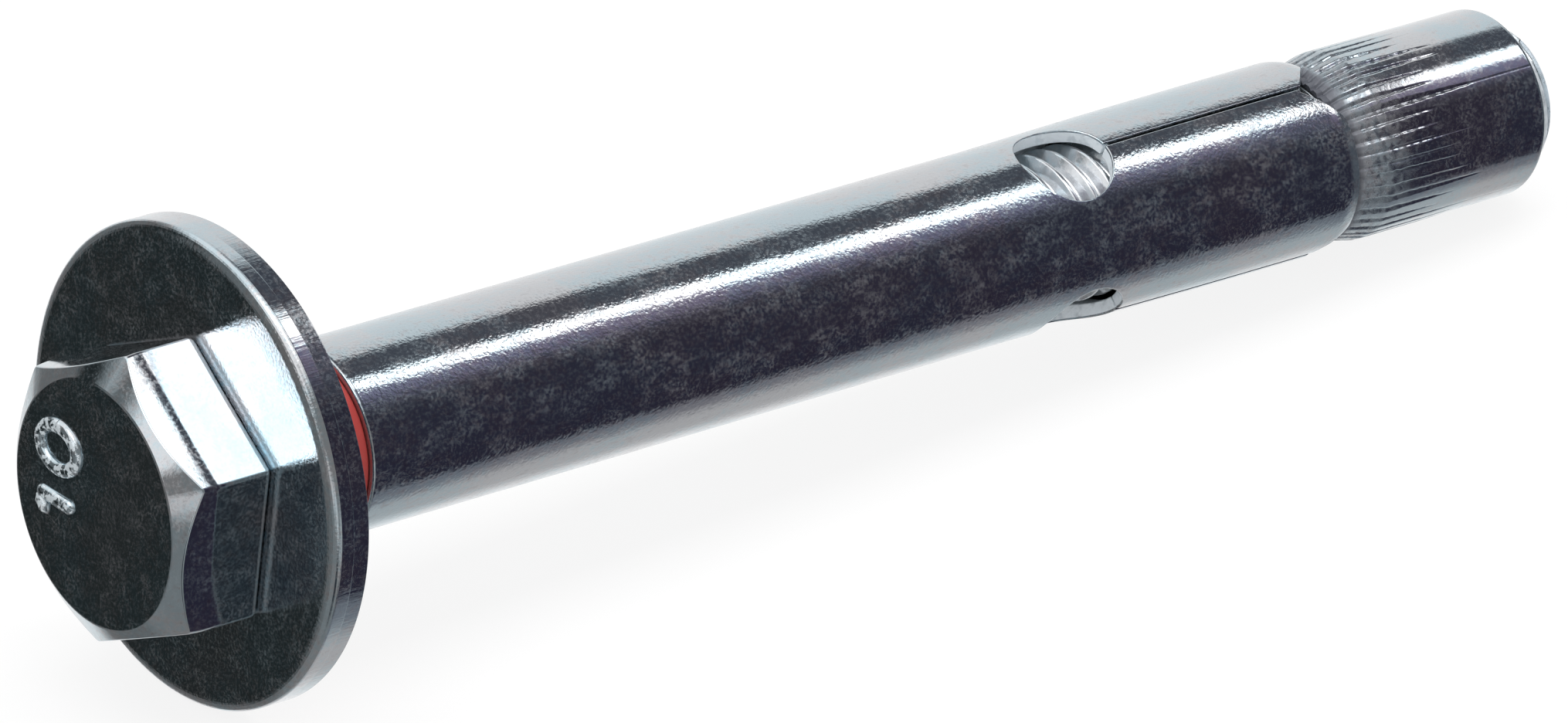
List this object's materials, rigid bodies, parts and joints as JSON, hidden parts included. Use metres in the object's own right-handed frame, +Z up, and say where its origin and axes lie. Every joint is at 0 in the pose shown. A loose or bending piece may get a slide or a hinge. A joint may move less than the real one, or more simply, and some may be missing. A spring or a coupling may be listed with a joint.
{
  "type": "sleeve anchor",
  "caption": "Masonry sleeve anchor: a hexagon bolt through a large washer, a crush ring and a slotted expansion sleeve, screwed into a knurled cone nut that spreads the sleeve.",
  "frame": {"origin": "centre of the footprint on the surface that the anchor lies on", "axes": "+Z up; +X along the anchor from its head to its tail, seen from above, with the anchor's own axis sloping 4.7 degrees down towards the tail; +Y away from the side that the picture shows"},
  "size_m": [0.1116, 0.03, 0.0301],
  "materials": {
    "bolt_steel": "bright zinc plating on a cold-headed steel bolt",
    "washer_steel": "bright zinc plating on punched sheet steel",
    "ring_plastic": "moulded red plastic, satin",
    "sleeve_steel": "bright bluish zinc plating on rolled strip steel",
    "nut_steel": "bright zinc plating on a turned and knurled cone"
  },
  "bodies": {
    "sleeve": {"expansion_sleeve": "sleeve_steel", "crush_ring": "ring_plastic", "washer": "washer_steel"},
    "bolt": {"hex_bolt": "bolt_steel"},
    "nut": {"cone_nut": "nut_steel"}
  },
  "joints": [
    {"name": "bolt_turn", "type": "hinge", "parent": "sleeve", "child": "bolt", "pos_m": [-0.04876, 0, 0.01436], "axis": [-0.9967, 0, 0.0815], "range_deg": [0, 3600]},
    {"name": "nut_travel", "type": "slide", "parent": "sleeve", "child": "nut", "axis": [0.9967, 0, -0.0815], "range_m": [0, 0.015]}
  ],
  "couplings": [
    {"joint": "nut_travel", "follows": "bolt_turn", "m_per_rad": 0.00023873}
  ]
}
